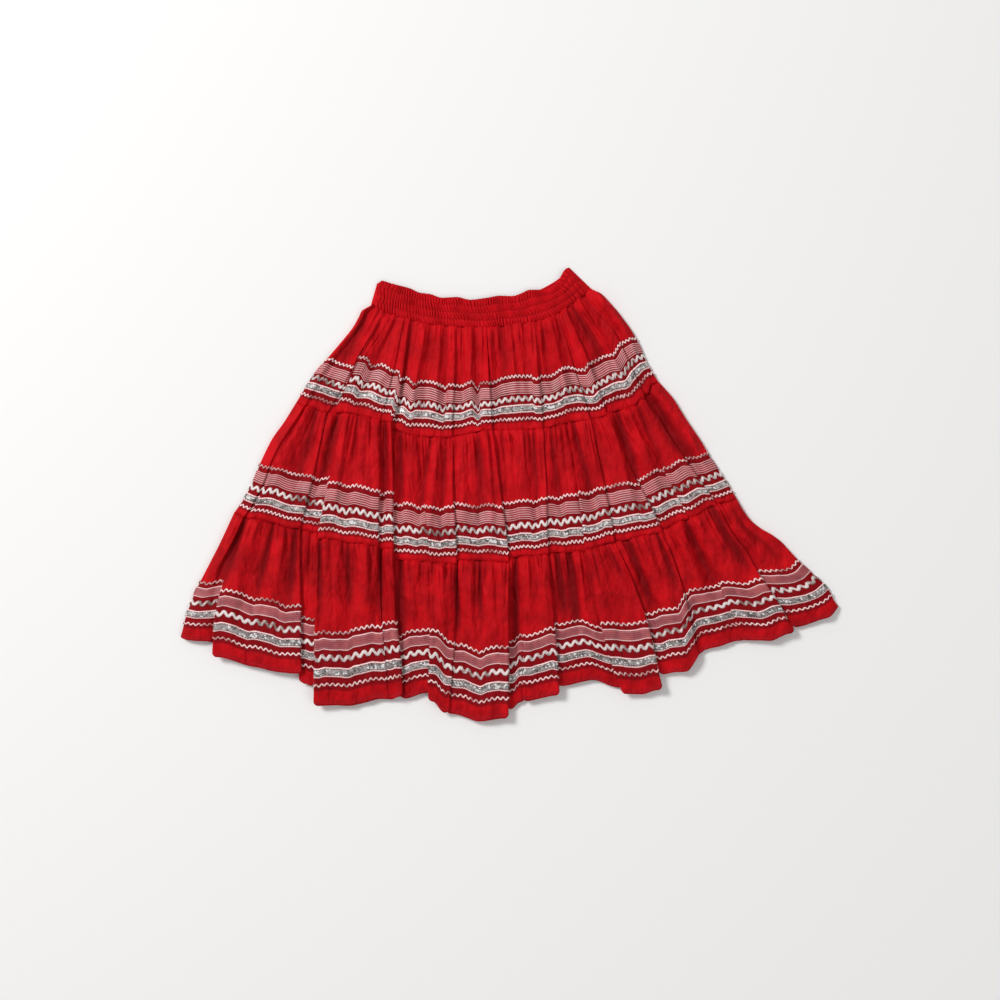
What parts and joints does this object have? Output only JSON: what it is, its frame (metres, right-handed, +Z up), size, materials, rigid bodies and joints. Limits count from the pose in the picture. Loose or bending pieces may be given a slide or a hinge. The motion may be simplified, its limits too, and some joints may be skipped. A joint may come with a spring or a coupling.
{
  "type": "square dance skirt",
  "caption": "Gathered tiered cotton skirt with a shirred elastic waistband and sewn bands of rickrack and metallic ribbon, laid flat on a surface.",
  "frame": {"origin": "middle of the skirt's outline, on the surface that it lies on", "axes": "+X across the skirt, +Y towards the waistband, +Z up from the surface through the front layer"},
  "size_m": [0.9876, 0.68, 0.0178],
  "materials": {
    "red_cotton": "matt plain-weave cotton",
    "waistband_cotton": "matt shirred cotton",
    "rickrack": "braided silver thread",
    "lined_ribbon": "sheer red ribbon with bright woven lines",
    "silver_ribbon": "glittering metallic weave"
  },
  "bodies": {
    "root": {"waistband": "waistband_cotton", "tier_upper": "red_cotton", "upper_rickrack_high": "rickrack", "upper_lined_ribbon": "lined_ribbon", "upper_rickrack_wide": "rickrack", "upper_silver_ribbon": "silver_ribbon", "upper_rickrack_low": "rickrack", "tier_middle": "red_cotton", "middle_rickrack_high": "rickrack", "middle_lined_ribbon": "lined_ribbon", "middle_rickrack_wide": "rickrack", "middle_silver_ribbon": "silver_ribbon", "middle_rickrack_low": "rickrack", "tier_lower": "red_cotton", "lower_rickrack_high": "rickrack", "lower_lined_ribbon": "lined_ribbon", "lower_rickrack_wide": "rickrack", "lower_silver_ribbon": "silver_ribbon", "lower_rickrack_low": "rickrack"}
  },
  "joints": []
}
